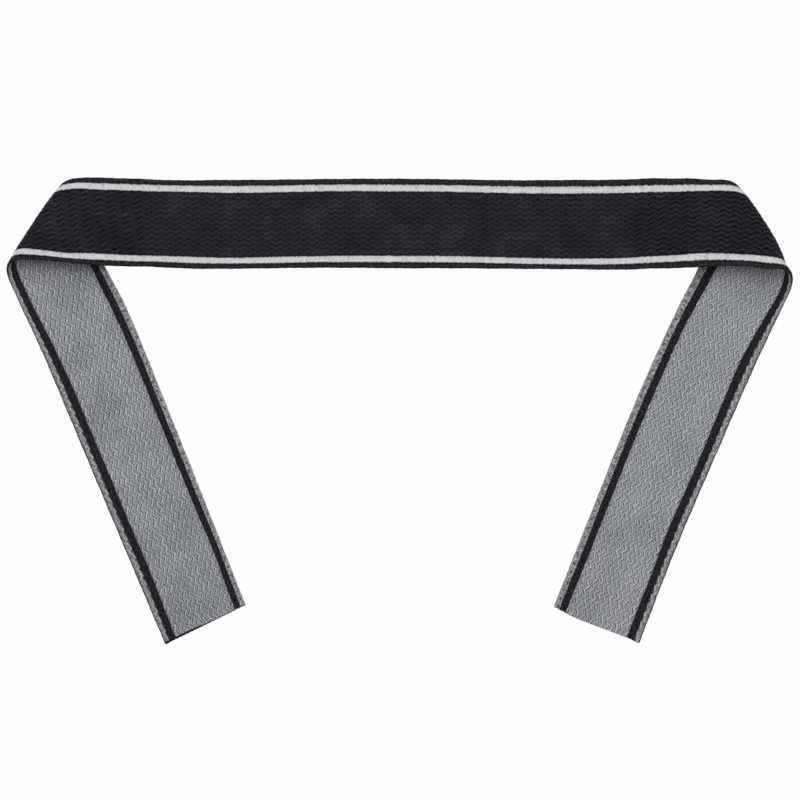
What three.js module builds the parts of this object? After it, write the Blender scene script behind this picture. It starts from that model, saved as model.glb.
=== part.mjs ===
// Woven cloth band for a sleeve, lying on a flat surface with both ends folded over.
// The middle stretch shows the front of the cloth. At each side the band turns back under
// itself in an open, slightly conical fold, and its two tails run down and inwards with
// the reverse of the cloth facing up.
//
// Millimetres. +X runs along the front stretch to the right, +Y points to its upper edge,
// and +Z points up from the surface. The origin is the middle of the base of the bounding box.

import * as THREE from 'three';

const bandWidth = 28;
const bandThickness = 1.0;

// The front stretch dips to the surface on both sides of a low swell in its middle,
// and climbs again towards the folds.
const swellHeight = 1.8;
const swellReach = 55;
const climbStart = 58;
const climbEnd = 96;

// Each fold is part of a cone. middleAt is where its first ruling crosses the middle of the
// band, measured from the middle of the front stretch, and rulingAngle is the angle between
// that ruling and the band's length. The radii are those of the wall's middle at the band's
// two edges. cutAt is where the cut end lies, halfway between its two corners. cutSlant is how
// much further the bottom edge runs than the top edge there, and cutBulge is how far the
// middle of the cut stands out beyond the line between the corners.
const folds = {
  left: {
    side: -1,
    middleAt: 106.4,
    rulingAngle: THREE.MathUtils.degToRad(61),
    topRadius: 2.6,
    bottomRadius: 3.9,
    cutAt: 246.6,
    cutSlant: 0.8,
    cutBulge: 0,
    topColumn: 'leftTop',
    bottomColumn: 'leftBottom',
  },
  right: {
    side: 1,
    middleAt: 104.9,
    rulingAngle: THREE.MathUtils.degToRad(61),
    topRadius: 3.4,
    bottomRadius: 4.7,
    cutAt: 245.9,
    cutSlant: -0.6,
    cutBulge: 0.7,
    topColumn: 'rightTop',
    bottomColumn: 'rightBottom',
  },
};

// How far the two woven edges stray from a straight band, both counted towards the top edge.
// along is the distance from the middle of the front stretch.
const edgeRows = [
  { along: 0, leftTop: -0.2, leftBottom: -0.1, rightTop: -0.2, rightBottom: -0.1 },
  { along: 30, leftTop: -0.2, leftBottom: 0.2, rightTop: -0.3, rightBottom: 0.1 },
  { along: 56, leftTop: -0.3, leftBottom: 0.0, rightTop: 0.0, rightBottom: 0.1 },
  { along: 74, leftTop: -0.6, leftBottom: 0.0, rightTop: -0.1, rightBottom: -0.4 },
  { along: 90, leftTop: -1.1, leftBottom: -0.6, rightTop: -1.4, rightBottom: -1.3 },
  { along: 98, leftTop: -1.4, leftBottom: 0.0, rightTop: -1.9, rightBottom: -0.8 },
  { along: 104, leftTop: -2.2, leftBottom: 0.5, rightTop: -0.8, rightBottom: -0.7 },
  { along: 112, leftTop: -2.2, leftBottom: 0.5, rightTop: -1.2, rightBottom: -1.7 },
  { along: 122, leftTop: -0.5, leftBottom: 1.0, rightTop: -0.4, rightBottom: 0.3 },
  { along: 150, leftTop: 2.2, leftBottom: 1.3, rightTop: 1.0, rightBottom: 0.1 },
  { along: 180, leftTop: 1.1, leftBottom: 0.7, rightTop: 0.8, rightBottom: 0.2 },
  { along: 216, leftTop: -0.3, leftBottom: 0.1, rightTop: -0.9, rightBottom: -0.8 },
  { along: 250, leftTop: -2.0, leftBottom: -0.5, rightTop: -2.6, rightBottom: -2.6 },
];

// Cells of the mesh along the front stretch, round a fold, along a tail, and across the band.
const stretchCells = 26;
const foldCells = 18;
const tailCells = 16;
const crossCells = 4;

const normalStep = 0.05;

const frontColour = new THREE.Color(0.14, 0.13, 0.15);

// Slope of a column at a row: the rise over the two rows beside it.
function rowSlope(index, column) {
  const before = edgeRows[Math.max(index - 1, 0)];
  const after = edgeRows[Math.min(index + 1, edgeRows.length - 1)];
  return (after[column] - before[column]) / (after.along - before.along);
}

// Smooth curve through a column of the edge rows.
function rowValue(along, column) {
  let index = 0;
  while (index < edgeRows.length - 2 && along >= edgeRows[index + 1].along) index += 1;
  const low = edgeRows[index];
  const high = edgeRows[index + 1];
  const span = high.along - low.along;
  const f = (along - low.along) / span;
  const f2 = f * f;
  const f3 = f2 * f;
  return (2 * f3 - 3 * f2 + 1) * low[column]
    + (f3 - 2 * f2 + f) * span * rowSlope(index, column)
    + (3 * f2 - 2 * f3) * high[column]
    + (f3 - f2) * span * rowSlope(index + 1, column);
}

// Place across the band, from -1 at the bottom edge to 1 at the top edge, in millimetres.
function acrossPlace(fold, along, across) {
  const top = bandWidth / 2 + rowValue(along, fold.topColumn);
  const bottom = -bandWidth / 2 + rowValue(along, fold.bottomColumn);
  return THREE.MathUtils.lerp(bottom, top, (across + 1) / 2);
}

// The cone of a fold: its apex and axes, worked out on the band laid out flat. ruling points
// from the apex to the bottom edge, and outward points away from the middle of the band.
function foldCone(fold) {
  const ruling = new THREE.Vector2(Math.cos(fold.rulingAngle), -Math.sin(fold.rulingAngle));
  const outward = new THREE.Vector2(Math.sin(fold.rulingAngle), Math.cos(fold.rulingAngle));
  const rulingLength = bandWidth / Math.sin(fold.rulingAngle);
  const sine = (fold.bottomRadius - fold.topRadius) / rulingLength;
  const apexDistance = fold.topRadius / sine;
  const topCrossing = fold.middleAt - bandWidth / 2 / Math.tan(fold.rulingAngle);
  const apex = new THREE.Vector2(topCrossing, bandWidth / 2).addScaledVector(ruling, -apexDistance);
  return { ruling, outward, sine, cosine: Math.sqrt(1 - sine * sine), apex, sweep: Math.PI * sine };
}

for (const fold of Object.values(folds)) fold.cone = foldCone(fold);

// Distance along the band at which the ruling at an angle from the fold's first ruling meets
// the straight line at this place across the band.
function rulingCrossing(fold, angle, place) {
  const { ruling, outward, apex } = fold.cone;
  const direction = ruling.clone().multiplyScalar(Math.cos(angle)).addScaledVector(outward, Math.sin(angle));
  return apex.x + direction.x * (place - apex.y) / direction.y;
}

// Front stretch: the plane that climbs to the fold, faded out towards the middle, and the swell.
function stretchPoint(fold, alongRuling, alongOutward, along) {
  const { ruling, outward, sine, cosine, apex } = fold.cone;
  const climb = THREE.MathUtils.smootherstep(along, climbStart, climbEnd);
  const flatCosine = 1 - 2 * sine * sine;
  const flatSine = 2 * sine * cosine;
  const reach = alongRuling * (1 - climb * (1 - flatCosine));
  const swell = swellHeight * (1 - THREE.MathUtils.smootherstep(along, 0, swellReach));
  return new THREE.Vector3(
    apex.x + ruling.x * reach + outward.x * alongOutward,
    apex.y + ruling.y * reach + outward.y * alongOutward,
    climb * alongRuling * flatSine + swell,
  );
}

// Fold and tail: distance from the apex is kept, and the angle at the apex becomes a turn
// about the cone's axis, up to half a turn. What is left of the angle lies in the flat tail.
function foldPoint(fold, distance, angle) {
  const { ruling, outward, sine, cosine, apex, sweep } = fold.cone;
  const turn = Math.min(angle, sweep) / sine;
  const rest = Math.max(angle - sweep, 0);
  const axis = new THREE.Vector3(ruling.x * cosine, ruling.y * cosine, sine);
  const up = new THREE.Vector3(-ruling.x * sine, -ruling.y * sine, cosine);
  const out = new THREE.Vector3(outward.x, outward.y, 0);
  const radial = up.clone().multiplyScalar(Math.cos(turn)).addScaledVector(out, Math.sin(turn));
  const tangent = up.clone().multiplyScalar(-Math.sin(turn)).addScaledVector(out, Math.cos(turn));
  const generator = axis.clone().multiplyScalar(cosine).addScaledVector(radial, sine);
  return new THREE.Vector3(apex.x, apex.y, 0)
    .addScaledVector(generator, distance * Math.cos(rest))
    .addScaledVector(tangent, distance * Math.sin(rest));
}

// Point of the middle of the cloth's wall.
function bandPoint(fold, along, across) {
  const { ruling, outward, apex } = fold.cone;
  const flat = new THREE.Vector2(along, acrossPlace(fold, along, across)).sub(apex);
  const alongRuling = flat.dot(ruling);
  const alongOutward = flat.dot(outward);
  const angle = Math.atan2(alongOutward, alongRuling);
  const point = angle <= 0
    ? stretchPoint(fold, alongRuling, alongOutward, along)
    : foldPoint(fold, flat.length(), angle);
  point.x *= fold.side;
  return point;
}

// Direction that the front of the cloth faces.
function frontNormal(fold, along, across) {
  const lengthwise = bandPoint(fold, along + normalStep, across)
    .sub(bandPoint(fold, Math.max(along - normalStep, 0), across));
  const crosswise = bandPoint(fold, along, across + normalStep)
    .sub(bandPoint(fold, along, across - normalStep));
  return lengthwise.cross(crosswise).multiplyScalar(fold.side).normalize();
}

// Lines across half a band, from its middle to its cut end. They follow the rulings of the
// fold, and fan out evenly on both sides of it.
function crossLines(fold) {
  const half = bandWidth / 2;
  const firstTop = rulingCrossing(fold, 0, half);
  const firstBottom = rulingCrossing(fold, 0, -half);
  const lastTop = rulingCrossing(fold, fold.cone.sweep, half);
  const lastBottom = rulingCrossing(fold, fold.cone.sweep, -half);
  const endTop = fold.cutAt - fold.cutSlant / 2;
  const endBottom = fold.cutAt + fold.cutSlant / 2;
  const lines = [];
  for (let i = 0; i < stretchCells; i += 1) {
    const f = i / stretchCells;
    lines.push({ top: f * firstTop, bottom: f * firstBottom });
  }
  for (let i = 0; i < foldCells; i += 1) {
    const angle = fold.cone.sweep * i / foldCells;
    lines.push({ top: rulingCrossing(fold, angle, half), bottom: rulingCrossing(fold, angle, -half) });
  }
  for (let i = 0; i <= tailCells; i += 1) {
    const f = i / tailCells;
    lines.push({
      top: THREE.MathUtils.lerp(lastTop, endTop, f),
      bottom: THREE.MathUtils.lerp(lastBottom, endBottom, f),
      bulge: fold.cutBulge * f,
    });
  }
  return lines.map((line) => ({ fold, bulge: 0, ...line }));
}

// Closed wall of cloth: a front and a back sheet, joined along both edges and both cut ends.
function bandGeometry() {
  const leftLines = crossLines(folds.left).slice(1).reverse();
  const lines = [...leftLines, ...crossLines(folds.right)];
  const positions = [];
  for (const line of lines) {
    for (let j = 0; j <= crossCells; j += 1) {
      const across = 2 * j / crossCells - 1;
      const along = THREE.MathUtils.lerp(line.bottom, line.top, j / crossCells)
        + line.bulge * (1 - across * across);
      const middle = bandPoint(line.fold, along, across);
      const normal = frontNormal(line.fold, along, across);
      positions.push(...middle.clone().addScaledVector(normal, bandThickness / 2).toArray());
      positions.push(...middle.clone().addScaledVector(normal, -bandThickness / 2).toArray());
    }
  }

  const indices = [];
  const front = (i, j) => 2 * (i * (crossCells + 1) + j);
  const back = (i, j) => front(i, j) + 1;
  const quad = (a, b, c, d) => indices.push(a, b, c, a, c, d);
  const lastLine = lines.length - 1;
  for (let i = 0; i < lastLine; i += 1) {
    for (let j = 0; j < crossCells; j += 1) {
      quad(front(i, j), front(i + 1, j), front(i + 1, j + 1), front(i, j + 1));
      quad(back(i, j), back(i, j + 1), back(i + 1, j + 1), back(i + 1, j));
    }
    quad(back(i, 0), back(i + 1, 0), front(i + 1, 0), front(i, 0));
    quad(back(i + 1, crossCells), back(i, crossCells), front(i, crossCells), front(i + 1, crossCells));
  }
  for (let j = 0; j < crossCells; j += 1) {
    quad(back(0, j + 1), back(0, j), front(0, j), front(0, j + 1));
    quad(back(lastLine, j), back(lastLine, j + 1), front(lastLine, j + 1), front(lastLine, j));
  }

  const geometry = new THREE.BufferGeometry();
  geometry.setAttribute('position', new THREE.Float32BufferAttribute(positions, 3));
  geometry.setIndex(indices);
  geometry.computeVertexNormals();
  return geometry;
}

// Moves the geometry so that the middle of the base of its box is the origin.
function seatOnOrigin(geometry) {
  geometry.computeBoundingBox();
  const { min, max } = geometry.boundingBox;
  geometry.translate(-(min.x + max.x) / 2, -(min.y + max.y) / 2, -min.z);
  return geometry;
}

const band = new THREE.Mesh(
  seatOnOrigin(bandGeometry()),
  new THREE.MeshStandardMaterial({ color: frontColour, roughness: 0.85, metalness: 0 }),
);
band.name = 'band';

const armband = new THREE.Group();
armband.add(band);

export default armband;
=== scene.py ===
import math
import bpy
import numpy as np
from mathutils import Matrix, Vector


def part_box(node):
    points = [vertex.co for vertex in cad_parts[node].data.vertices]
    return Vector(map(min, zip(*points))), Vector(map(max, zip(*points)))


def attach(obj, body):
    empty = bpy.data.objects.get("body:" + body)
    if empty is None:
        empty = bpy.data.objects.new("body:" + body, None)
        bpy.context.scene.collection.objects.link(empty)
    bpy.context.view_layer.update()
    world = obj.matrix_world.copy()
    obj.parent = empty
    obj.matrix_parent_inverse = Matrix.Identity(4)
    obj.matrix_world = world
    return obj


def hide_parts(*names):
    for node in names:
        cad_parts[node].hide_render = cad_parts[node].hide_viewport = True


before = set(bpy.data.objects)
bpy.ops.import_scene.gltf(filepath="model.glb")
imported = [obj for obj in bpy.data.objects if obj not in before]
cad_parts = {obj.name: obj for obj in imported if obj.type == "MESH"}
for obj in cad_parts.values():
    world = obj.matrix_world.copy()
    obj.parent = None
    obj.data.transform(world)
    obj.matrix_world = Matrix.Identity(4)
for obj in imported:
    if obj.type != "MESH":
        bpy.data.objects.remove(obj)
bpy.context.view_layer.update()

# The band's own shape, in millimetres on the cloth laid out flat. along is counted from the
# middle of the front stretch, across from the middle of the width towards the top edge. A wave
# is a row of its turn per millimetre along, its turn per millimetre across, and its start.
bandShape = {
    "width": 28.0,
    "wall": 0.9,
    "cadWall": 1.0,
    "edgeRound": 0.55,  # how far in from the woven edge the wall begins to thin
    "edgeShare": 0.3,  # share of the wall that is left at the woven edge
    "swellHeight": 1.8,
    "swellReach": 55.0,
    "climbStart": 58.0,
    "climbEnd": 96.0,
    "bowReach": 24.0,
    "bowEnd": 1.03,  # share of the fold's length past which its bow stays the same
    "normalStep": 0.05,
    "cutBlend": 8.0,  # reach of the lines that turn to a cut's own line
    "bulgeSkew": 0.5,  # moves the bulge of a cut towards the top edge
    "cutRaggedness": 0.08,
    "raggedWaves": [(0, 5.1, 0), (0, 8.3, 1.9)],
    "raggedPower": 8,  # how soon the raggedness fades away from a cut
    "edgeWander": 0.035,
    "edgeWaves": [(0.57, 0, 2.1)],
    "edgePower": 16,  # how soon the wander fades away from the woven edge
}

# Each fold is part of a cone: where its first ruling crosses the middle of the band, the
# angle of that ruling, and the radii at the two edges. The folded edge swells outwards by the
# bow at its middle and is pulled in at its two corners. The last three are the cut end's
# place, how far it is out of square, and how far it bulges.
folds = {
    "left": {
        "side": -1,
        "middleAt": 106.4,
        "rulingAngle": math.radians(61),
        "topRadius": 2.6,
        "bottomRadius": 3.9,
        "bow": 0.25,
        "bowMiddle": 0.64,
        "cornerPull": 5.8,
        "cutAt": 246.6,
        "cutSlant": 0.8,
        "cutBulge": 0.0,
    },
    "right": {
        "side": 1,
        "middleAt": 104.9,
        "rulingAngle": math.radians(61),
        "topRadius": 3.4,
        "bottomRadius": 4.7,
        "bow": 0.45,
        "bowMiddle": 0.55,
        "cornerPull": 14.5,
        "cutAt": 245.9,
        "cutSlant": -0.6,
        "cutBulge": 0.75,
    },
}

# How far the two woven edges stray from a straight band, counted towards the top edge, at
# stations along.
edgeRows = {
    "along": [0, 30, 56, 74, 84, 90, 98, 104, 112, 122, 129, 136, 150, 180, 216, 250],
    "leftTop": [-0.2, -0.2, -0.3, -0.65, -0.75, -0.6, -0.5, -1.8, -2.2, -0.6, 0.45, 1.3, 2.0, 0.9,
                -0.7, -2.4],
    "leftBottom": [-0.1, 0.2, 0.0, 0.0, -0.6, -0.7, -0.1, 0.5, 0.8, 0.95, 0.95, 1.0, 1.25, 0.6,
                   -0.2, -0.9],
    "rightTop": [-0.2, -0.3, 0.0, -0.15, -0.65, -0.6, -0.95, -1.5, -1.6, -0.5, 0.0, 0.3, 0.85, 0.65,
                 -1.1, -2.8],
    "rightBottom": [-0.1, 0.1, 0.1, -0.4, -1.1, -1.2, -0.95, -1.0, -1.5, -0.7, -0.75, -0.35, 0.35,
                    0.05, -0.7, -2.6],
}

# Places of the middle of each stripe, across from the middle of the width, at stations along.
stripeRows = {
    "along": [0, 20, 50, 66, 80, 92, 98, 104, 110, 116, 130, 142, 154, 166, 190, 212, 226, 240, 250],
    "leftTop": [10.85, 11.0, 10.8, 11.2, 11.0, 10.95, 11.15, 11.35, 11.5, 11.5, 11.4, 10.9, 11.05,
                11.2, 11.25, 11.5, 11.8, 11.45, 11.2],
    "leftBottom": [-11.15, -11.35, -11.6, -11.35, -11.6, -11.4, -11.8, -12.15, -11.7, -11.3, -11.7,
                   -11.6, -11.15, -10.8, -10.75, -10.7, -10.6, -11.0, -11.4],
    "rightTop": [10.9, 10.9, 10.6, 10.7, 10.5, 10.75, 10.75, 10.3, 10.0, 10.0, 10.2, 10.4, 10.8,
                 10.8, 10.85, 10.9, 10.8, 11.0, 11.0],
    "rightBottom": [-11.15, -11.3, -11.75, -11.5, -11.2, -10.85, -11.15, -11.45, -11.4, -11.7, -12.2,
                    -11.3, -10.6, -10.6, -11.0, -10.65, -10.95, -10.85, -10.9],
}

# The weave: a ground of zigzag rows between two lengthwise stripes and two woven edges, and
# how many cells of the mesh each of them has.
weave = {
    "stripeMiddle": 11.25,
    "stripeHalf": 1.05,
    "rows": 12.5,
    "cellsPerRow": 4,
    "stripeCells": 3,
    "edgeCells": 4,
    "stationsPerZigzag": 4,
    "phaseSteps": 20000,  # steps of the running sum that finds the stations
    "rowFade": 0.8,  # width over which the rows die out beside a stripe
    "rowWander": 0.07,
    "rowWaves": [(0.31, 0.5, 0), (0.83, -0.9, 1.3)],
    "reverseRelief": 0.07,
}

# Zigzag from the left cut to the right cut: its period, how far each row swings to either
# side, the depth of the front's relief, how strongly the rows' painted highlight and shade show
# on the front, how far their falling parts match the rising ones, and the lean of the zigzag's
# crosswise lines. The last two are painted light on the ground: painted shade that darkens the
# front at the creases, and painted light that lightens the reverse on the right tail.
zigzagRows = {
    "along": [-250, -230, -200, -130, -118, -106, -80, -77, 69, 73, 104, 118, 130, 250],
    "period": [2.6, 2.9, 2.95, 2.95, 3.3, 3.9, 3.9, 2.8, 2.8, 3.45, 3.45, 3.2, 2.95, 2.85],
    "swing": [0.42, 0.43, 0.44, 0.44, 0.44, 0.38, 0.37, 0.34, 0.34, 0.37, 0.36, 0.44, 0.44, 0.43],
    "relief": [0.06, 0.06, 0.06, 0.06, 0.1, 0.15, 0.15, 0.06, 0.06, 0.14, 0.14, 0.1, 0.06, 0.06],
    "strength": [0.6, 0.6, 0.6, 0.6, 0.8, 1.0, 0.95, 0.6, 0.6, 1.0, 1.0, 0.9, 0.6, 0.6],
    "evenness": [0.8, 0.8, 0.8, 0.8, 0.5, 0.3, 0.3, 0.8, 0.8, 0.5, 0.9, 0.9, 0.8, 0.8],
    "lean": [-0.04, -0.06, -0.13, -0.13, -0.16, -0.2, -0.15, -0.03, 0.0, 0.05, 0.09, 0.09, 0.08, 0.07],
    "frontPaintedShade": [0, 0, 0, 0, -0.02, -0.02, -0.08, 0.02, 0.0, -0.1, -0.04, -0.04, 0, 0],
    "reversePaintedLight": [-0.02, 0.0, 0.02, 0.02, 0, 0, 0, 0, 0, 0, 0.08, 0.08, 0.09, 0.05],
}


# Ramp with flat ends: 6x^5 - 15x^4 + 10x^3 of the share x of the way from low to high.
def smootherStep(value, low, high):
    x = np.clip((value - low) / (high - low), 0, 1)
    return x * x * x * (x * (6 * x - 15) + 10)


# Triangle wave of a phase counted in periods: 0 at 0, 1 at a quarter, -1 at three quarters.
def triangleWave(phase):
    return 1 - 4 * np.abs((phase + 0.25) % 1 - 0.5)


# Sum of sines: each wave turns with the distance along and across, from its own start.
def sineSum(waves, along, across):
    return sum(np.sin(along * perAlong + across * perAcross + start) for perAlong, perAcross, start in waves)


# Smooth curve through a column of rows: a cubic per gap, its slope at a row being the rise
# over the two rows beside it.
def rowCurve(along, rows, column):
    x = np.array(rows["along"], float)
    y = np.array(rows[column], float)
    lower = np.maximum(np.arange(len(x)) - 1, 0)
    upper = np.minimum(np.arange(len(x)) + 1, len(x) - 1)
    slope = (y[upper] - y[lower]) / (x[upper] - x[lower])
    i = np.clip(np.searchsorted(x, along, side="right") - 1, 0, len(x) - 2)
    span = x[i + 1] - x[i]
    f = (along - x[i]) / span
    return ((2 * f**3 - 3 * f**2 + 1) * y[i] + (f**3 - 2 * f**2 + f) * span * slope[i]
            + (3 * f**2 - 2 * f**3) * y[i + 1] + (f**3 - f**2) * span * slope[i + 1])


# Cone of a fold, worked out on the flat band: ruling points from the apex to the bottom edge,
# outward away from the middle, and the sine of the half angle is the radii's difference over
# the ruling's length.
def foldCone(fold):
    angle = fold["rulingAngle"]
    width = bandShape["width"]
    ruling = np.array([math.cos(angle), -math.sin(angle)])
    outward = np.array([math.sin(angle), math.cos(angle)])
    sine = (fold["bottomRadius"] - fold["topRadius"]) / (width / math.sin(angle))
    cosine = math.sqrt(1 - sine * sine)
    topCrossing = fold["middleAt"] - width / 2 / math.tan(angle)
    apex = np.array([topCrossing, width / 2]) - ruling * fold["topRadius"] / sine
    return {"ruling": ruling, "outward": outward, "sine": sine, "cosine": cosine, "apex": apex}


# Distances of a place from the cone's apex, along the ruling and outwards.
def fromApex(cone, x, y):
    x = x - cone["apex"][0]
    y = y - cone["apex"][1]
    return [x * way[0] + y * way[1] for way in (cone["ruling"], cone["outward"])]


# Front stretch: the flat band, whose distances along the ruling are tilted upwards by the
# whole angle of the cone as the climb goes from 0 to 1, plus the swell at the middle.
def stretchPoints(cone, along, alongRuling, alongOutward):
    apex, ruling, outward, sine = [cone[key] for key in ("apex", "ruling", "outward", "sine")]
    climb = smootherStep(along, bandShape["climbStart"], bandShape["climbEnd"])
    swell = bandShape["swellHeight"] * (1 - smootherStep(along, 0, bandShape["swellReach"]))
    reach = alongRuling * (1 - climb * 2 * sine * sine)
    return np.stack([
        apex[0] + ruling[0] * reach + outward[0] * alongOutward,
        apex[1] + ruling[1] * reach + outward[1] * alongOutward,
        climb * alongRuling * 2 * sine * cone["cosine"] + swell,
    ], -1)


# Cloth past the first ruling: the distance from the apex is kept, the angle at the apex
# becomes a turn about the cone's axis, up to half a turn, and the rest of it goes on flat.
def rolledPoints(cone, alongRuling, alongOutward):
    ruling, outward, sine, cosine = [cone[key] for key in ("ruling", "outward", "sine", "cosine")]
    distance = np.hypot(alongRuling, alongOutward)
    angle = np.maximum(np.arctan2(alongOutward, alongRuling), 0)
    turn = np.minimum(angle, math.pi * sine) / sine
    rest = np.maximum(angle - math.pi * sine, 0)
    axis = np.array([ruling[0] * cosine, ruling[1] * cosine, sine])
    up = np.array([-ruling[0] * sine, -ruling[1] * sine, cosine])
    out = np.array([outward[0], outward[1], 0])
    radial = np.cos(turn)[..., None] * up + np.sin(turn)[..., None] * out
    tangent = -np.sin(turn)[..., None] * up + np.cos(turn)[..., None] * out
    generator = axis * cosine + radial * sine
    return (np.array([*cone["apex"], 0])
            + (distance * np.cos(rest))[..., None] * generator
            + (distance * np.sin(rest))[..., None] * tangent)


# How far points near a fold move outwards: its bow less its corner pull times the cube of
# the share of the fold's length from the bow's middle, fading with the depth in the fold.
def foldBow(fold, cone, points):
    downFold, beyond = fromApex(cone, points[..., 0], points[..., 1])
    start = fold["topRadius"] / cone["sine"]
    share = (downFold - start) * math.sin(fold["rulingAngle"]) / bandShape["width"]
    fromMiddle = np.abs(np.clip(share, 0, bandShape["bowEnd"]) - fold["bowMiddle"])
    bow = fold["bow"] - fold["cornerPull"] * fromMiddle**3
    return bow * (1 - smootherStep(downFold * cone["sine"] - beyond, 0, bandShape["bowReach"]))


# Middle of the wall on one half of the band: a place between its two edges lies on the front
# stretch up to the fold's first ruling and is rolled up past it. The bow then moves it out.
def halfSurface(name, along, across):
    fold = folds[name]
    cone = foldCone(fold)
    top = bandShape["width"] / 2 + rowCurve(along, edgeRows, name + "Top")
    bottom = -bandShape["width"] / 2 + rowCurve(along, edgeRows, name + "Bottom")
    alongRuling, alongOutward = fromApex(cone, along, bottom + (top - bottom) * (across + 1) / 2)
    stretch = stretchPoints(cone, along, alongRuling, alongOutward)
    rolled = rolledPoints(cone, alongRuling, alongOutward)
    points = np.where((alongOutward <= 0)[..., None], stretch, rolled)
    points[..., :2] += foldBow(fold, cone, points)[..., None] * cone["outward"]
    points[..., 0] *= fold["side"]
    return points


# Middle of the wall for a signed distance along the band: the left half mirrors its fold.
def bandSurface(along, across):
    left = halfSurface("left", np.abs(along), across)
    right = halfSurface("right", np.abs(along), across)
    return np.where((along < 0)[..., None], left, right)


# Direction the front faces: the cross product of the steps lengthwise and crosswise.
def frontNormal(along, across):
    step = bandShape["normalStep"]
    crossStep = 2 * step / bandShape["width"]
    lengthwise = bandSurface(along + step, across) - bandSurface(along - step, across)
    crosswise = bandSurface(along, across + crossStep) - bandSurface(along, across - crossStep)
    normal = np.cross(lengthwise, crosswise)
    return normal / np.linalg.norm(normal, axis=-1, keepdims=True)


# Stations along the band, at quarters of the zigzag: the phase is the running sum of step
# over period, and it is read backwards at each quarter. The last station is the right cut.
def zigzagStations():
    fine = np.linspace(-folds["left"]["cutAt"], folds["right"]["cutAt"], weave["phaseSteps"] + 1)
    period = np.interp(fine, zigzagRows["along"], zigzagRows["period"])
    phase = np.concatenate([[0], np.cumsum(np.diff(fine) * 2 / (period[1:] + period[:-1]))])
    quarters = np.arange(0, int(phase[-1] * weave["stationsPerZigzag"]) + 1)
    quarters = quarters / weave["stationsPerZigzag"]
    stations = np.interp(quarters, phase, fine)
    stations[-1] = fine[-1]
    return stations, quarters


# Lines across the band, from the bottom edge to the top edge: woven edge, stripe, rows of
# the ground, stripe, woven edge. The edge's lines crowd together where it is rounded.
def crossPlaces():
    half = bandShape["width"] / 2
    inner = weave["stripeMiddle"] - weave["stripeHalf"]
    outer = weave["stripeMiddle"] + weave["stripeHalf"]
    edge = half - (half - outer) * np.linspace(0, 1, weave["edgeCells"] + 1) ** 2
    stripe = np.linspace(outer, inner, weave["stripeCells"] + 1)
    ground = np.linspace(-inner, inner, round(weave["rows"] * weave["cellsPerRow"]) + 1)
    return np.concatenate([-edge[:-1], -stripe[:-1], ground[:-1], stripe[::-1][:-1], edge[::-1]])


# Where a line of the weave lies on the band: between the stripes it shares in the shifts of
# both, and from a stripe out to the edge the stripe's shift fades to nothing.
def weavePlace(along, nominal):
    half = bandShape["width"] / 2
    middle = weave["stripeMiddle"]
    distance = np.abs(along)
    top, bottom = [
        np.where(along < 0, rowCurve(distance, stripeRows, "left" + edge),
                 rowCurve(distance, stripeRows, "right" + edge))
        for edge in ("Top", "Bottom")]
    share = np.clip((nominal + middle) / (2 * middle), 0, 1)
    fade = np.clip((half - np.abs(nominal)) / (half - middle), 0, 1)
    return nominal + fade * (share * (top - middle) + (1 - share) * (bottom + middle))


# Distance along the band of each point of the grid: the crosswise lines lean with the weave,
# and near a cut they turn to the cut's own line, which is slanted, bulged as a parabola that
# is weighted towards the top edge, and ragged as a sum of sines.
def leanedAlong(station, place, lean):
    share = place / (bandShape["width"] / 2)
    ragged = bandShape["cutRaggedness"] * sineSum(bandShape["raggedWaves"], station, place)
    nears = {
        name: 1 - np.clip((fold["cutAt"] - fold["side"] * station) / bandShape["cutBlend"], 0, 1)
        for name, fold in folds.items()}
    along = station + lean * place * (1 - nears["left"] - nears["right"])
    for name, fold in folds.items():
        bulge = fold["cutBulge"] * (1 - share**2) * (bandShape["bulgeSkew"] + share)
        cut = bulge - fold["cutSlant"] / 2 * share
        fade = nears[name] ** bandShape["raggedPower"]
        along = along + fold["side"] * (nears[name] * cut + fade * ragged)
    return along


# Half the wall at a place across: it thins on a quarter circle at the woven edges.
def halfWall(place):
    fromFlat = np.abs(place) - bandShape["width"] / 2 + bandShape["edgeRound"]
    lip = np.clip(fromFlat / bandShape["edgeRound"], 0, 1)
    thin = bandShape["edgeShare"]
    return bandShape["wall"] / 2 * (thin + (1 - thin) * np.sqrt(1 - lip**2))


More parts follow.
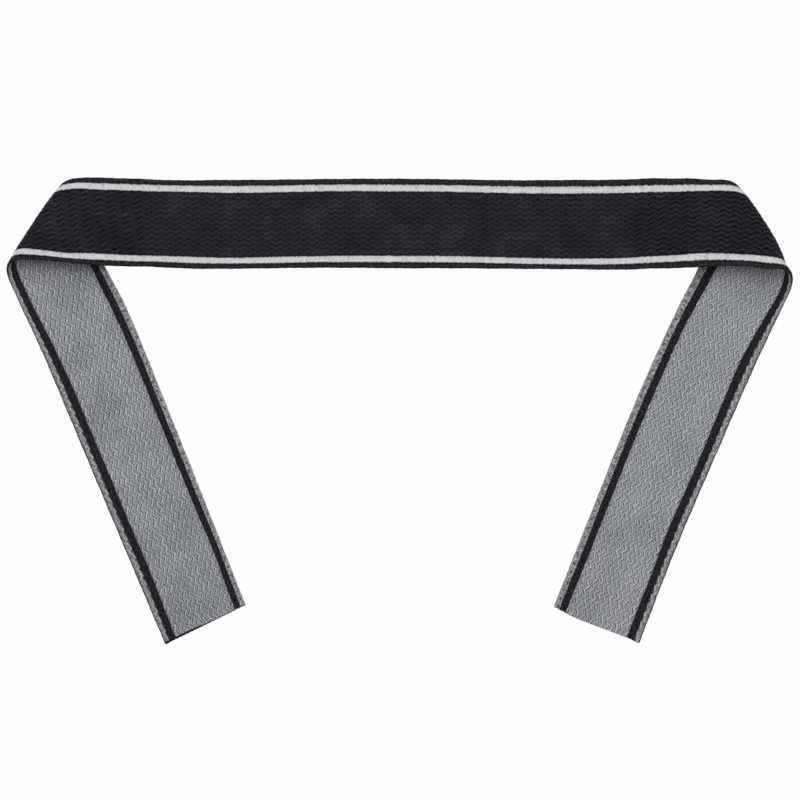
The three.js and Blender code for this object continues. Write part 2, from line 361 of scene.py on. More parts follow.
# Cloth as two sheets on one grid. Rows of the ground swing with the zigzag and wander, and
# the woven edges wander once a zigzag and more slowly too. A sheet is the middle of the wall
# plus or less half the wall and the relief, which is a cosine across each row of the ground.
def bandGrid():
    half = bandShape["width"] / 2
    inner = weave["stripeMiddle"] - weave["stripeHalf"]
    stations, phase = zigzagStations()
    nominal = crossPlaces()
    station, place = np.meshgrid(stations, nominal, indexing="ij")
    phaseGrid = np.meshgrid(phase, nominal, indexing="ij")[0]
    zone = {key: np.interp(station, zigzagRows["along"], zigzagRows[key])
            for key in zigzagRows if key not in ("along", "period")}

    row = (place + inner) / (2 * inner) * weave["rows"]
    ground = np.clip((inner - np.abs(place)) / weave["rowFade"], 0, 1)
    wander = weave["rowWander"] * sineSum(weave["rowWaves"], station, place)
    woven = place + (zone["swing"] * triangleWave(phaseGrid) + wander) * ground
    edgeWave = np.sin(2 * math.pi * phaseGrid) + sineSum(bandShape["edgeWaves"], station, place)
    edgeFade = np.abs(place / half) ** bandShape["edgePower"]
    across = (weavePlace(station, woven) + bandShape["edgeWander"] * edgeWave * edgeFade) / half
    along = leanedAlong(station, place, zone["lean"])

    middle = bandSurface(along, across)
    normal = frontNormal(along, across)
    wall = halfWall(place)
    crest = -0.5 * np.cos(2 * math.pi * row) * ground
    return {
        "front": middle + normal * (wall + zone["relief"] * crest)[..., None],
        "back": middle - normal * (wall + weave["reverseRelief"] * crest)[..., None],
        "middle": middle,
        "normal": normal,
        "cloth": np.stack([station, place], -1) / 1000,
        "zigzag": np.stack([phaseGrid, row], -1),
        "zone": np.stack([zone["strength"], zone["evenness"]], -1),
        # Painted light and shade of the grounds: shade at the front's creases, light on the reverse's right
        # tail.
        "paintedLightAndShade": np.stack([zone["frontPaintedShade"], zone["reversePaintedLight"]], -1),
    }


# Move from this script's band to the frame, in millimetres: the CAD box's middle, less the
# middle of the same surface with the CAD's wall. Upwards, the lowest point goes to the box's
# base instead.
def seatOffset(grid):
    reach = grid["normal"] * bandShape["cadWall"] / 2
    outline = np.concatenate([grid["middle"] + reach, grid["middle"] - reach]).reshape(-1, 3)
    low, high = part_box("band")
    cadMiddle = (np.array(low) + np.array(high)) / 2 * 1000
    offset = cadMiddle - (outline.min(0) + outline.max(0)) / 2
    lowest = min(grid["front"][..., 2].min(), grid["back"][..., 2].min())
    offset[2] = low[2] * 1000 - lowest
    return offset


# Quads between neighbouring lines of a grid of vertex numbers.
def gridQuads(index):
    corners = [index[:-1, :-1], index[1:, :-1], index[1:, 1:], index[:-1, 1:]]
    return np.stack(corners, -1).reshape(-1, 4)


# Faces of the closed band in four groups: front sheet, back sheet, woven edges, cut ends.
# The back sheet's vertices follow the front's, and a strip joins the two sheets at each side.
def bandFaces(index):
    count = index.size
    strips = [
        np.stack([index[:, 0] + count, index[:, 0]], 1),
        np.stack([index[:, -1], index[:, -1] + count], 1),
        np.stack([index[0], index[0] + count], 1),
        np.stack([index[-1] + count, index[-1]], 1),
    ]
    bottom, top, left, right = [gridQuads(strip) for strip in strips]
    return [gridQuads(index), gridQuads(index)[:, ::-1] + count,
            np.concatenate([bottom, top]), np.concatenate([left, right])]


# Smooth mesh of groups of quads, each group with its own material number.
def quadMesh(name, points, groups):
    faces = np.concatenate(groups)
    slots = np.repeat(np.arange(len(groups)), [len(group) for group in groups])
    mesh = bpy.data.meshes.new(name)
    mesh.vertices.add(len(points))
    mesh.vertices.foreach_set("co", points.astype(np.float32).ravel())
    mesh.loops.add(faces.size)
    mesh.loops.foreach_set("vertex_index", faces.ravel().astype(np.int32))
    mesh.polygons.add(len(faces))
    mesh.polygons.foreach_set("loop_start", np.arange(0, faces.size, 4, dtype=np.int32))
    mesh.polygons.foreach_set("loop_total", np.full(len(faces), 4, dtype=np.int32))
    mesh.polygons.foreach_set("material_index", slots.astype(np.int32))
    mesh.update(calc_edges=True)
    mesh.shade_smooth()
    return mesh, faces


# UV maps: the cloth's own places in metres, the zigzag's phase and row, the strength and
# evenness of the rows, and the painted light and shade of the two sides' grounds.
uvLayers = ("cloth", "zigzag", "zone", "paintedLightAndShade")


# The band as one object: the two sheets of the grid moved to the frame, in metres, with the
# UV maps and four materials. The rims of the two cuts stay sharp.
def makeBand(materials):
    grid = bandGrid()
    points = np.concatenate([grid["front"].reshape(-1, 3), grid["back"].reshape(-1, 3)])
    points = (points + seatOffset(grid)) / 1000
    count = len(points) // 2
    index = np.arange(count).reshape(grid["front"].shape[:2])
    mesh, faces = quadMesh("wovenBand", points, bandFaces(index))
    for material in materials:
        mesh.materials.append(material)
    for name in uvLayers:
        values = grid[name].reshape(-1, 2)[faces.ravel() % count]
        mesh.uv_layers.new(name=name).data.foreach_set("uv", values.astype(np.float32).ravel())

    ends = np.zeros(len(mesh.edges) * 2, np.int32)
    mesh.edges.foreach_get("vertices", ends)
    rim = np.isin(ends % count, np.concatenate([index[0], index[-1]])).reshape(-1, 2).all(1)
    mesh.attributes.new("sharp_edge", "BOOLEAN", "EDGE").data.foreach_set("value", rim)
    mesh.validate()
    print("band:", len(points), "vertices,", 2 * len(faces), "triangles")

    band = bpy.data.objects.new("woven_band", mesh)
    bpy.context.scene.collection.objects.link(band)
    return band


# Sets a socket to a value, or joins it to another node's output.
def plug(tree, socket, value):
    if isinstance(value, bpy.types.NodeSocket):
        tree.links.new(value, socket)
    else:
        socket.default_value = value


nodeGrid = {"perLine": 12, "right": 220, "down": 260}


# Adds a node with its settings and inputs, and lays the nodes out in lines.
def addNode(tree, kind, inputs=None, **settings):
    node = tree.nodes.new(kind)
    line, place = divmod(len(tree.nodes) - 1, nodeGrid["perLine"])
    node.location = (nodeGrid["right"] * place, -nodeGrid["down"] * line)
    for key, value in settings.items():
        setattr(node, key, value)
    for key, value in (inputs or {}).items():
        plug(tree, node.inputs[key], value)
    return node


# One calculation on one to three numbers.
def calc(tree, operation, *values):
    return addNode(tree, "ShaderNodeMath", dict(enumerate(values)), operation=operation).outputs[0]


# Sum of any count of numbers.
def total(tree, *values):
    result = values[0]
    for value in values[1:]:
        result = calc(tree, "ADD", result, value)
    return result


# Product of any count of numbers.
def product(tree, *values):
    result = values[0]
    for value in values[1:]:
        result = calc(tree, "MULTIPLY", result, value)
    return result


# Smooth ramp of a value, from 0 at low to 1 at high.
def ramp(tree, value, low, high):
    inputs = {"Value": value, "From Min": low, "From Max": high}
    return addNode(tree, "ShaderNodeMapRange", inputs, interpolation_type="SMOOTHSTEP").outputs[0]


# Bell of a value: e to the power of minus the square of its distance from centre over width.
def bell(tree, value, centre, width):
    scaled = calc(tree, "DIVIDE", calc(tree, "SUBTRACT", value, centre), width)
    return calc(tree, "EXPONENT", product(tree, scaled, scaled, -1.0))


# Mix of two colours by a factor from 0 to 1. The node's colours are its sockets 6 and 7, and
# its output 2.
def mixColour(tree, factor, low, high):
    node = addNode(tree, "ShaderNodeMix", {"Factor": factor}, data_type="RGBA")
    for socket, colour in ((node.inputs[6], low), (node.inputs[7], high)):
        plug(tree, socket, colour if isinstance(colour, bpy.types.NodeSocket) else (*colour, 1))
    return node.outputs[2]


# Separate numbers of a vector.
def split(tree, vector):
    return addNode(tree, "ShaderNodeSeparateXYZ", {0: vector}).outputs


# Random number from 0 to 1 that belongs to a number.
def randomOf(tree, number):
    return addNode(tree, "ShaderNodeTexWhiteNoise", {"W": number}, noise_dimensions="1D").outputs[0]


# The grain of the yarn. Scales are per metre, each noise has a scale and a detail, and a speck
# of lint fades from its core to its rim, counted in cells.
grainLook = {
    "roughness": 0.6,  # of every noise
    "noises": {"Fine": (3600.0, 1.0), "Middle": (1300.0, 2.0), "Patches": (350.0, 1.0), "Broad": (90.0, 3.0)},
    "lintScale": 330.0,
    "lintChosen": 0.64,  # cells whose random number is higher have a speck
    "lintCore": 0.03,
    "lintRim": 0.08,
}


# Noise of a vector, from 0 to 1, at a scale per metre.
def noise(tree, vector, scale, detail=1.0):
    inputs = {"Vector": vector, "Scale": scale, "Detail": detail, "Roughness": grainLook["roughness"]}
    return addNode(tree, "ShaderNodeTexNoise", inputs).outputs[0]


# Noise of the cloth's places, drawn out by a scale for each direction.
def drawnNoise(tree, at, look):
    drawn = addNode(tree, "ShaderNodeMapping", {"Vector": at["cloth"], "Scale": look["draw"]})
    return noise(tree, drawn.outputs[0], look["scale"])


# Noise less a half, times an amount.
def grainPart(tree, value, amount):
    return calc(tree, "MULTIPLY_ADD", value, amount, -amount / 2)


# Node group that takes the cloth's places and named numbers, and puts out named numbers.
# Returns its tree, the values that come in and the sockets that go out.
def startGroup(name, numbers, outputs):
    group = bpy.data.node_groups.new(name, "ShaderNodeTree")
    group.interface.new_socket("Cloth", in_out="INPUT", socket_type="NodeSocketVector")
    for socketName in numbers:
        group.interface.new_socket(socketName, in_out="INPUT", socket_type="NodeSocketFloat")
    for socketName in outputs:
        group.interface.new_socket(socketName, in_out="OUTPUT", socket_type="NodeSocketFloat")
    source = addNode(group, "NodeGroupInput").outputs
    target = addNode(group, "NodeGroupOutput").inputs
    return group, source, target


zigzagLook = {
    "sineLimit": 0.999,  # keeps the sine inside the reach of the arcsine
    "turnWidth": 0.35,  # cosine of the phase at which a row is rising or falling in full
    "wanderScale": 420.0,
    "patchScale": 600.0,
    "patchDetail": 2.0,
    "speckScale": 2600.0,
    "noiseGain": 4.0,
    # The dark line of the rows is painted shade.
    "atCorners": 0.8,  # change of the dark line at the zigzag's corners
    "betweenCorners": -1.2,  # and halfway between them
}


# Group: zigzag rows, drawn as painted light. The light line along each row is a painted highlight
# and the dark line below it is painted shade; on the reverse they are partly the threads' own
# colour too. The rows' corners are rounded by moving them from a triangle wave towards a sine, and
# noise makes them wander. drop is the share of a row below its light line, which is a bell at drop
# 0. Where the row rises the dark line lies at Rising Drop, where it falls at Falling Drop, and
# there both have the share Evenness of their strength, as the falling parts are painted as
# catching less light. A fainter light line lies half a row lower. Corners is the share by which
# the dark line fades between the corners of the zigzag. Noise breaks all of them up.
def makeZigzagGroup():
    look = zigzagLook
    tree, source, target = startGroup("zigzagRows", [
        "Row", "Phase", "Roundness", "Wander", "Light At", "Light Width", "Rising Drop", "Falling Drop",
        "Dark Width", "Second Light", "Evenness", "Unevenness", "Corners"], ["Light", "Dark"])
    turn = product(tree, source["Phase"], 2 * math.pi)
    sine = calc(tree, "SINE", turn)
    triangle = calc(tree, "ARCSINE", product(tree, sine, look["sineLimit"]))
    triangle = product(tree, triangle, 2 / math.pi)
    rounding = product(tree, calc(tree, "SUBTRACT", triangle, sine), source["Roundness"])
    wander = noise(tree, source["Cloth"], look["wanderScale"])
    wander = product(tree, calc(tree, "SUBTRACT", wander, 0.5), source["Wander"])
    row = total(tree, source["Row"], rounding, wander)
    drop = calc(tree, "FRACT", calc(tree, "SUBTRACT", source["Light At"], row))
    fromLine = calc(tree, "MINIMUM", drop, calc(tree, "SUBTRACT", 1.0, drop))

    wave = calc(tree, "COSINE", turn)
    rising = ramp(tree, wave, -look["turnWidth"], look["turnWidth"])
    falling = calc(tree, "SUBTRACT", 1.0, rising)
    weaker = product(tree, falling, source["Evenness"])
    patches = noise(tree, source["Cloth"], look["patchScale"], look["patchDetail"])
    specks = noise(tree, source["Cloth"], look["speckScale"])
    gain = look["noiseGain"]
    uneven = total(tree, product(tree, patches, gain), product(tree, specks, gain), -gain)
    strength = calc(tree, "MULTIPLY_ADD", uneven, source["Unevenness"], 1.0)
    strength = calc(tree, "MAXIMUM", strength, 0.0)

    line = bell(tree, fromLine, 0.0, source["Light Width"])
    second = bell(tree, drop, 0.5, source["Light Width"])
    line = total(tree, line, product(tree, second, source["Second Light"]))
    plug(tree, target["Light"], product(tree, line, total(tree, rising, weaker), strength))

    darkRising = product(tree, bell(tree, drop, source["Rising Drop"], source["Dark Width"]), rising)
    darkFalling = product(tree, bell(tree, drop, source["Falling Drop"], source["Dark Width"]), weaker)
    dark = product(tree, total(tree, darkRising, darkFalling), strength)
    change = look["betweenCorners"] - look["atCorners"]
    fading = calc(tree, "MULTIPLY_ADD", product(tree, wave, wave), change, look["atCorners"])
    cornered = calc(tree, "MULTIPLY_ADD", fading, source["Corners"], 1.0)
    plug(tree, target["Dark"], product(tree, dark, calc(tree, "MAXIMUM", cornered, 0.0)))


threadLook = {
    "bend": 0.0012,
    "bendScale": 300.0,
    "upperStart": 517.3,  # numbers the threads of the upper half apart from the lower half's
    "reachStart": 91.7,  # and their second random numbers apart from the first
}


# Group: crosswise threads. Shade is a cosine across each thread times its own random tone,
# and Reach is a random number from -1 to 1, by which the thread's end sticks out.
def makeThreadGroup():
    look = threadLook
    tree, source, target = startGroup("crosswiseThreads", ["Step", "Seed"], ["Shade", "Reach"])
    places = split(tree, source["Cloth"])
    bend = product(tree, noise(tree, source["Cloth"], look["bendScale"]), look["bend"])
    turns = calc(tree, "DIVIDE", total(tree, places[0], bend), source["Step"])
    upper = product(tree, calc(tree, "GREATER_THAN", places[1], 0.0), look["upperStart"])
    thread = total(tree, calc(tree, "FLOOR", turns), upper, source["Seed"])
    wave = calc(tree, "COSINE", product(tree, calc(tree, "FRACT", turns), 2 * math.pi))
    shade = product(tree, calc(tree, "MULTIPLY_ADD", wave, 0.5, 0.5), randomOf(tree, thread))
    other = randomOf(tree, total(tree, thread, look["reachStart"]))
    plug(tree, target["Shade"], shade)
    plug(tree, target["Reach"], calc(tree, "MULTIPLY_ADD", other, 2.0, -1.0))


# Group: grain of the yarn: four noises from 0 to 1, from fine to broad, and specks of lint,
# which are discs about the points of a few random cells.
def makeGrainGroup():
    look = grainLook
    tree, source, target = startGroup("yarnGrain", [], [*look["noises"], "Lint"])
    cells = addNode(tree, "ShaderNodeTexVoronoi", {
        "Vector": source["Cloth"], "Scale": look["lintScale"]}, voronoi_dimensions="2D").outputs
    chosen = calc(tree, "GREATER_THAN", cells["Color"], look["lintChosen"])
    disc = ramp(tree, cells["Distance"], look["lintRim"], look["lintCore"])
    plug(tree, target["Lint"], product(tree, disc, chosen))
    for name, (scale, detail) in look["noises"].items():
        plug(tree, target[name], noise(tree, source["Cloth"], scale, detail))


# Places a node group in a material and returns its outputs.
def useGroup(tree, name, inputs):
    return addNode(tree, "ShaderNodeGroup", inputs, node_tree=bpy.data.node_groups[name]).outputs


# Starts a cloth material: returns it, its tree, and the numbers of its UV maps and grain.
def startCloth(name):
    material = bpy.data.materials.new(name)
    material.use_nodes = True
    tree = material.node_tree
    tree.nodes.clear()
    layers = [addNode(tree, "ShaderNodeUVMap", uv_map=layer).outputs[0] for layer in uvLayers]
    places, rows, shares, paintedLightAndShade = [split(tree, layer) for layer in layers]
    return material, tree, {
        "cloth": layers[0],
        "along": places[0],
        "across": places[1],
        "fromMiddle": calc(tree, "ABSOLUTE", places[1]),
        "phase": rows[0],
        "row": rows[1],
        "strength": shares[0],
        "evenness": shares[1],
        "frontPaintedShade": paintedLightAndShade[0],
        "reversePaintedLight": paintedLightAndShade[1],
        "grain": useGroup(tree, "yarnGrain", {"Cloth": layers[0]}),
    }


# Ends a cloth material: the colour, and a bump from the height, on a rough surface.
def finishCloth(tree, colour, height, look):
    bump = addNode(tree, "ShaderNodeBump", {
        "Strength": look["bumpStrength"], "Distance": look["bumpDistance"], "Height": height})
    surface = addNode(tree, "ShaderNodeBsdfPrincipled", {
        "Base Color": colour, "Roughness": look["roughness"], "Normal": bump.outputs[0],
        "Specular IOR Level": look["specular"]})
    addNode(tree, "ShaderNodeOutputMaterial", {"Surface": surface.outputs[0]})


# Painted light of the zigzag rows: their light line, a painted highlight, and their dark line,
# painted shade, with a look's values.
def rowHighlightAndShade(tree, at, look, corners):
    lines = useGroup(tree, "zigzagRows", {
        "Row": at["row"], "Phase": at["phase"], "Cloth": at["cloth"], "Evenness": at["evenness"],
        "Corners": corners, **look["rows"]})
    return lines["Light"], lines["Dark"]


# Shade and reach of the crosswise threads, with a look's values.
def crossThreads(tree, at, look):
    return useGroup(tree, "crosswiseThreads", {"Cloth": at["cloth"], **look["threads"]})


# Colour of a zone of the cloth. Its tone is the zone's base, plus the parts, plus each grain
# less a half times its share. The colour goes from the zone's own to its light one as the
# tone goes from 0 to 1, and to its dark one down to -1.
def zoneColour(tree, at, zone, *parts):
    grains = [grainPart(tree, at["grain"][name], share) for name, share in zone["grain"].items()]
    tone = total(tree, *parts, *grains, zone["base"])
    colour = mixColour(tree, tone, zone["colour"], zone["light"])
    return mixColour(tree, product(tree, tone, -1.0), colour, zone["dark"])


# Cosine of the zigzag's phase, with a count of waves to a zigzag.
def phaseWave(tree, at, count):
    return calc(tree, "COSINE", product(tree, at["phase"], 2 * math.pi * count))


# Ribs across a stripe, two to a zigzag.
def ribWave(tree, at):
    return phaseWave(tree, at, 2)


# Distances of a stripe's two borders from the middle of the band, in metres.
def stripeBorders(look):
    return [(weave["stripeMiddle"] + side * look["stripeHalf"]) / 1000 for side in (-1, 1)]


# Shares of the stripe and of the woven edge at a point: smooth steps at the two borders of
# the stripe, each moved by the reach of the crosswise thread that ends there and by the ribs.
def borders(tree, at, reach, look):
    inner, outer = stripeBorders(look)
    blur = look["borderBlur"]
    move = total(tree, product(tree, reach, look["borderJag"]),
                 product(tree, ribWave(tree, at), look["borderRib"]))
    inward = calc(tree, "ADD", at["fromMiddle"], move)
    outward = calc(tree, "SUBTRACT", at["fromMiddle"], move)
    return ramp(tree, inward, inner - blur, inner + blur), ramp(tree, outward, outer - blur, outer + blur)


# Front of the cloth. Colours are shares of red, green and blue light, and lengths are metres
# but for stripeHalf, which is millimetres. A zone's other numbers are shares in its tone.
frontLook = {
    # On the ground, line weights the rows' light line, a painted highlight, and the next number their dark
    # line, painted shade in the grooves.
    "ground": {
        "colour": (0.0153, 0.013, 0.0193), "light": (0.062, 0.057, 0.072),
        "dark": (0.0004, 0.0002, 0.0006),
        "base": 0.0, "line": 0.34, "rowShade": -0.92, "lint": 0.7,
        "grain": {"Fine": 1.2, "Middle": 0.4, "Broad": 1.0},
    },
    "stripe": {
        "colour": (0.652, 0.654, 0.672), "light": (0.92, 0.92, 0.93), "dark": (0.15, 0.15, 0.16),
        "base": 0.16, "gaps": -0.3, "ribs": -0.12, "upper": -0.12, "streaks": 0.45, "strands": 0.8,
        "grain": {"Fine": 0.4},
    },
    "edge": {
        "colour": (0.0148, 0.0143, 0.0165), "light": (0.05, 0.049, 0.053), "dark": (0.001, 0.001, 0.001),
        "base": -0.26, "ridge": 0.38, "lumps": 0.35,
        "grain": {"Middle": 3.4, "Fine": 3.2},
    },
    # Places and widths of the rows' light line, a painted highlight, and dark line, painted shade.
    "rows": {
        "Roundness": 0.35, "Wander": 0.65, "Light At": 0.75, "Light Width": 0.2, "Rising Drop": 0.5,
        "Falling Drop": 0.5, "Dark Width": 0.2, "Second Light": 0.0, "Unevenness": 0.8,
    },
    "corners": 0.35,
    "cornerStrengths": (1.0, 0.6),  # strengths of the rows at which Corners is nought and full
    "threads": {"Step": 0.0005, "Seed": 3.0},
    "threadRelief": 0.4,
    "streaks": {"draw": (0.15, 1.0, 1.0), "scale": 2200.0},
    "strands": {"draw": (1.0, 0.22, 1.0), "scale": 2600.0},
    "patchBorders": (0.3, 0.7),  # of the grain Patches, in which gaps and ribs are stronger
    "gapBase": 0.6,
    "ribBase": 0.3,
    "ribStart": -0.2,  # height of the rib wave at which a rib begins
    "upperBorders": (0.0001, 0.0006),
    "ridgePlace": 0.0134,
    "ridgeWidth": 0.0004,
    "tickStart": 0.8,  # height of the phase wave at which a tick begins
    "tickLength": 0.00035,
    "tickShare": 0.3,
    "stripeHalf": 0.92,
    "borderBlur": 0.00022,
    "borderJag": 0.0001,
    "borderRib": 0.00003,
    "bumpStrength": 0.6,
    "bumpDistance": 0.00012,
    "roughness": 0.75,
    "specular": 0.12,
}


# Light stripe of the front: crosswise threads with fine dark gaps between them, gathered in
# ribs that show in patches, faint streaks lengthwise and a grain drawn out across the stripe.
# The side towards the top edge is a little darker.
def stripeColour(tree, at, threads, look):
    zone = look["stripe"]
    patches = ramp(tree, at["grain"]["Patches"], *look["patchBorders"])
    gaps = product(tree, threads["Shade"], total(tree, patches, look["gapBase"]), zone["gaps"])
    rib = ramp(tree, ribWave(tree, at), look["ribStart"], 1.0)
    ribs = product(tree, rib, total(tree, patches, look["ribBase"]), zone["ribs"])
    middle = product(tree, calc(tree, "SIGN", at["across"]), weave["stripeMiddle"] / 1000)
    upper = ramp(tree, calc(tree, "SUBTRACT", at["across"], middle), *look["upperBorders"])
    streaks = grainPart(tree, drawnNoise(tree, at, look["streaks"]), zone["streaks"])
    strands = grainPart(tree, drawnNoise(tree, at, look["strands"]), zone["strands"])
    return zoneColour(tree, at, zone, gaps, ribs, product(tree, upper, zone["upper"]), streaks, strands)


# Woven edge of the front: dark and mottled, with a soft lumpy ridge, and light ticks that
# stick out of the stripe once a zigzag.
def frontEdge(tree, at, look):
    zone = look["edge"]
    ridge = bell(tree, at["fromMiddle"], look["ridgePlace"], look["ridgeWidth"])
    lumps = product(tree, ribWave(tree, at), at["grain"]["Patches"], zone["lumps"])
    colour = zoneColour(tree, at, zone, product(tree, ridge, zone["ridge"]), lumps)
    outer = stripeBorders(look)[1]
    along = ramp(tree, phaseWave(tree, at, 1), look["tickStart"], 1.0)
    outwards = ramp(tree, at["fromMiddle"], outer + look["tickLength"], outer)
    tick = product(tree, along, outwards, look["tickShare"])
    return mixColour(tree, tick, colour, look["stripe"]["dark"])


# Front of the cloth: dark zigzag ground, two light stripes and two dark woven edges. The
# ground's rows carry a painted highlight on their upper flanks and painted shade in their
# grooves, and the ground has painted shade at the creases. The relief is that of the rows on the
# ground and of the crosswise threads on the stripes.
def makeFrontMaterial():
    look = frontLook
    material, tree, at = startCloth("clothFront")
    zone = look["ground"]
    corners = product(tree, ramp(tree, at["strength"], *look["cornerStrengths"]), look["corners"])
    light, dark = [product(tree, line, at["strength"]) for line in rowHighlightAndShade(tree, at, look, corners)]
    threads = crossThreads(tree, at, look)
    lint = product(tree, at["grain"]["Lint"], zone["lint"])
    # The ground's tone takes the rows' painted highlight and painted shade, lint, and painted shade at the
    # creases.
    ground = zoneColour(tree, at, zone, product(tree, light, zone["line"]),
                        product(tree, dark, zone["rowShade"]), lint, at["frontPaintedShade"])
    inStripe, inEdge = borders(tree, at, threads["Reach"], look)
    colour = mixColour(tree, inStripe, ground, stripeColour(tree, at, threads, look))
    colour = mixColour(tree, inEdge, colour, frontEdge(tree, at, look))

    relief = product(tree, calc(tree, "SUBTRACT", light, dark), calc(tree, "SUBTRACT", 1.0, inStripe))
    gaps = product(tree, threads["Shade"], inStripe, look["threadRelief"])
    finishCloth(tree, colour, calc(tree, "SUBTRACT", relief, gaps), look)
    return material


# Reverse of the cloth, in the same units. loops and blotches are the two woven edges, which
# share the colours of edge. Heights on the looped edge go from 0 at the rim to 1 at the
# stripe, and the left cut's fringe grows wider from the first fringePlace to the second.
reverseLook = {
    # On the ground, line and the next number weight the rows' light and dark lines: partly the threads' own
    # colour and partly painted highlight and painted shade.
    "ground": {
        "colour": (0.210, 0.219, 0.237), "light": (0.8, 0.81, 0.835), "dark": (0.02, 0.021, 0.026),
        "base": 0.0, "line": 0.58, "rowShade": -0.66,
        "grain": {"Fine": 1.7, "Middle": 0.5, "Broad": 0.45},
    },
    "stripe": {
        "colour": (0.0108, 0.0102, 0.014), "light": (0.05, 0.05, 0.056), "dark": (0.001, 0.001, 0.001),
        "base": -0.1,
        "grain": {"Fine": 5.5, "Middle": 2.5},
    },
    "edge": {
        "colour": (0.2, 0.2, 0.212), "light": (0.62, 0.62, 0.635), "dark": (0.02, 0.02, 0.022),
    },
    "loops": {
        "base": -0.17, "line": 0.7, "lower": 0.3, "gap": -0.45, "rim": -0.8,
        "grain": {"Fine": 2.4, "Middle": 2.3},
    },
    "blotches": {
        "base": 0.14, "blotch": -0.6,
        "grain": {"Middle": 3.0, "Fine": 4.2},
    },
    # Places and widths of the rows' light and dark lines, partly painted highlight and shade.
    "rows": {
        "Roundness": 0.1, "Wander": 0.3, "Light At": 0.5, "Light Width": 0.1, "Rising Drop": 0.27,
        "Falling Drop": 0.72, "Dark Width": 0.1, "Second Light": 0.5, "Unevenness": 0.6,
    },
    "threads": {"Step": 0.00074, "Seed": 40.0},
    "archBase": 0.5,
    "archRise": 0.42,
    "archPeak": 0.3,  # share of a zigzag at which the arch is highest
    "archWander": 0.3,
    "lineWidth": 0.13,
    "lowerPlace": -0.36,
    "lowerWidth": 0.12,
    "gapBorders": (0.1, 0.35),
    "rimBorders": (0.26, 0.08),
    "blotchStart": 0.2,
    "blotchPlace": 0.0131,
    "blotchWidth": 0.0004,
    "stripeHalf": 1.1,
    "borderBlur": 0.00008,
    "borderJag": 0.00006,
    "borderRib": 0.00003,
    "fringe": (0.008, 0.008, 0.01),
    "fringeWidth": 0.00012,
    "fringeSpread": 0.0004,
    "fringePlaces": (0.004, -0.006),
    "fringeBlur": 0.0001,
    "bumpStrength": 0.5,
    "bumpDistance": 0.0001,
    "roughness": 0.8,
    "specular": 0.12,
}


# Bottom edge of the reverse: once a zigzag the edge yarn makes an arch that rises steeply and
# falls slowly, as straight lines up to its peak and down again. The arch is a light line with
# a fainter one below it, with dark gaps above between the arches and a dark rim.
def loopEdge(tree, at, look):
    zone = {**look["edge"], **look["loops"]}
    half = bandShape["width"] / 2000
    outer = stripeBorders(look)[1]
    share = calc(tree, "FRACT", at["phase"])
    peak = look["archPeak"]
    arch = calc(tree, "MINIMUM", product(tree, share, 1 / peak),
                product(tree, calc(tree, "SUBTRACT", 1.0, share), 1 / (1 - peak)))
    curve = calc(tree, "MULTIPLY_ADD", arch, look["archRise"], look["archBase"])
    height = calc(tree, "DIVIDE", total(tree, at["across"], half), half - outer)
    wander = grainPart(tree, at["grain"]["Middle"], look["archWander"])
    above = total(tree, height, product(tree, curve, -1.0), wander)
    parts = {
        "line": bell(tree, above, 0.0, look["lineWidth"]),
        "lower": bell(tree, above, look["lowerPlace"], look["lowerWidth"]),
        "gap": ramp(tree, above, *look["gapBorders"]),
        "rim": ramp(tree, height, *look["rimBorders"]),
    }
    return zoneColour(tree, at, zone, *[product(tree, part, zone[name]) for name, part in parts.items()])


# Top edge of the reverse: mottled yarn with a soft dark blotch once a zigzag.
def blotchedEdge(tree, at, look):
    zone = {**look["edge"], **look["blotches"]}
    along = ramp(tree, phaseWave(tree, at, 1), look["blotchStart"], 1.0)
    outwards = bell(tree, at["across"], look["blotchPlace"], look["blotchWidth"])
    return zoneColour(tree, at, zone, product(tree, along, outwards, zone["blotch"]))


# Share of the dark fringe along the left cut, where threads of the front show: a line that
# grows wider towards the bottom edge.
def cutFringe(tree, at, look):
    fromCut = total(tree, at["along"], folds["left"]["cutAt"] / 1000)
    lower = ramp(tree, at["across"], *look["fringePlaces"])
    width = calc(tree, "MULTIPLY_ADD", lower, look["fringeSpread"], look["fringeWidth"])
    return ramp(tree, calc(tree, "SUBTRACT", fromCut, width), look["fringeBlur"], 0.0)


# Reverse of the cloth: grey zigzag ground with light and dark threads, whose light and dark
# lines along the rows are partly painted highlight and painted shade, with painted light on the
# right tail; a dark stripe behind each light one, a looped bottom edge and a blotched top edge.
# The relief is that of the rows between the stripes and of the grain on the edges.
def makeReverseMaterial():
    look = reverseLook
    material, tree, at = startCloth("clothReverse")
    zone = look["ground"]
    light, dark = rowHighlightAndShade(tree, at, look, 0.0)
    threads = crossThreads(tree, at, look)
    # The ground's tone takes the rows' light and dark lines, partly painted highlight and shade, and painted
    # light that lightens the right tail.
    ground = zoneColour(tree, at, zone, product(tree, light, zone["line"]),
                        product(tree, dark, zone["rowShade"]), at["reversePaintedLight"])
    inStripe, inEdge = borders(tree, at, threads["Reach"], look)
    isTop = calc(tree, "GREATER_THAN", at["across"], 0.0)
    edge = mixColour(tree, isTop, loopEdge(tree, at, look), blotchedEdge(tree, at, look))
    colour = mixColour(tree, inStripe, ground, zoneColour(tree, at, look["stripe"]))
    colour = mixColour(tree, inEdge, colour, edge)
    colour = mixColour(tree, cutFringe(tree, at, look), colour, look["fringe"])

    relief = product(tree, calc(tree, "SUBTRACT", light, dark), calc(tree, "SUBTRACT", 1.0, inStripe))
    mottle = product(tree, at["grain"]["Middle"], inEdge)
    finishCloth(tree, colour, total(tree, relief, mottle), look)
    return material


sideLook = {**frontLook["edge"], "base": 0.0, "grain": {"Middle": 1.6}}


# Side of the woven edges: dark yarn, mottled.
def makeEdgeMaterial():
    material, tree, at = startCloth("clothEdge")
    finishCloth(tree, zoneColour(tree, at, sideLook), at["grain"]["Fine"], frontLook)
    return material


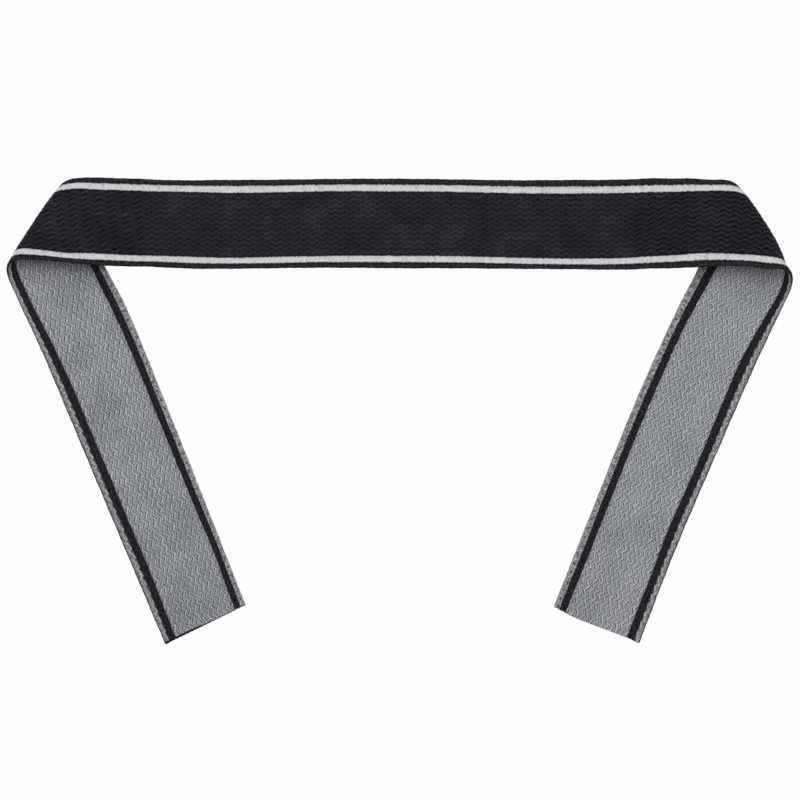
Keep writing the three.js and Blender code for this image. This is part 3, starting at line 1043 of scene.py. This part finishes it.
cutLook = {"yarnBorders": (0.45, 0.6)}


# Cut ends: dark and grey yarns cut through, a few to a millimetre.
def makeCutMaterial():
    material, tree, at = startCloth("clothCut")
    yarns = ramp(tree, at["grain"]["Fine"], *cutLook["yarnBorders"])
    colour = mixColour(tree, yarns, reverseLook["edge"]["dark"], reverseLook["edge"]["colour"])
    finishCloth(tree, colour, at["grain"]["Fine"], reverseLook)
    return material


floorLook = {"size": 6.0, "glow": 1.0, "shade": (0.8, 0.8, 0.8, 1), "share": 0.03}


# White ground: mostly its own even light, with a small share that takes the band's shadow.
def makeFloor():
    half = floorLook["size"] / 2
    mesh = bpy.data.meshes.new("floor")
    corners = [(-half, -half, 0), (half, -half, 0), (half, half, 0), (-half, half, 0)]
    mesh.from_pydata(corners, [], [(0, 1, 2, 3)])
    material = bpy.data.materials.new("whiteGround")
    material.use_nodes = True
    tree = material.node_tree
    tree.nodes.clear()
    glow = addNode(tree, "ShaderNodeEmission", {"Strength": floorLook["glow"]})
    shade = addNode(tree, "ShaderNodeBsdfDiffuse", {"Color": floorLook["shade"]})
    both = addNode(tree, "ShaderNodeMixShader", {
        0: floorLook["share"], 1: glow.outputs[0], 2: shade.outputs[0]})
    addNode(tree, "ShaderNodeOutputMaterial", {"Surface": both.outputs[0]})
    mesh.materials.append(material)
    floor = bpy.data.objects.new("floor", mesh)
    bpy.context.scene.collection.objects.link(floor)


lightLook = {
    "world": {"colour": (1, 1, 1, 1), "strength": 0.34},
    "key": {"watts": 2.2, "size": 0.3, "place": (-0.45, 0.75, 0.8)},
    "fill": {"watts": 10.3, "size": 1.0, "place": (0.1, 0.18, 1.4)},
}


# Even white surroundings, a soft lamp beyond the upper left that picks out the relief of the
# weave, and a broad one high above that casts the soft shade under the front stretch. Each
# lamp faces the middle of the base.
def makeLight():
    world = bpy.data.worlds.new("whiteRoom")
    bpy.context.scene.world = world
    world.use_nodes = True
    background = world.node_tree.nodes["Background"]
    background.inputs["Color"].default_value = lightLook["world"]["colour"]
    background.inputs["Strength"].default_value = lightLook["world"]["strength"]
    for name in ("key", "fill"):
        look = lightLook[name]
        data = bpy.data.lights.new(name, "AREA")
        data.energy = look["watts"]
        data.size = look["size"]
        lamp = bpy.data.objects.new(name, data)
        lamp.location = look["place"]
        lamp.rotation_euler = Vector(look["place"]).to_track_quat("Z", "Y").to_euler()
        bpy.context.scene.collection.objects.link(lamp)


cameraLook = {
    "aim": (0.00025, 0.00283, 0.0005),
    "elevation": math.radians(80.19),
    "distance": 1.0693,
    "roll": math.radians(0.129),
    "lens": 159.4,
    "sensorWidth": 36.0,
    "farEnd": 20.0,
}


# Camera above the band, a little towards its cut ends: looking at aim from the distance
# along the elevation, turned by roll about its own axis.
def makeCamera():
    data = bpy.data.cameras.new("camera")
    data.lens = cameraLook["lens"]
    data.sensor_width = cameraLook["sensorWidth"]
    data.clip_end = cameraLook["farEnd"]
    camera = bpy.data.objects.new("camera", data)
    back = Vector((0, -math.cos(cameraLook["elevation"]), math.sin(cameraLook["elevation"])))
    camera.location = Vector(cameraLook["aim"]) + back * cameraLook["distance"]
    facing = back.to_track_quat("Z", "Y").to_matrix().to_4x4()
    camera.rotation_euler = (facing @ Matrix.Rotation(cameraLook["roll"], 4, "Z")).to_euler()
    bpy.context.scene.collection.objects.link(camera)
    bpy.context.scene.camera = camera


# Colours are shown as they are, with no film curve.
def setColours():
    view = bpy.context.scene.view_settings
    view.view_transform = "Standard"
    view.look = "None"
    view.exposure = 0.0
    view.gamma = 1.0


makeCamera()
setColours()
print("camera set")

makeZigzagGroup()
makeThreadGroup()
makeGrainGroup()
clothMaterials = [makeFrontMaterial(), makeReverseMaterial(), makeEdgeMaterial(), makeCutMaterial()]
print("node groups and materials made")

band = makeBand(clothMaterials)
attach(band, "root")
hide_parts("band")
print("band placed")

makeFloor()
makeLight()
print("floor and light made")
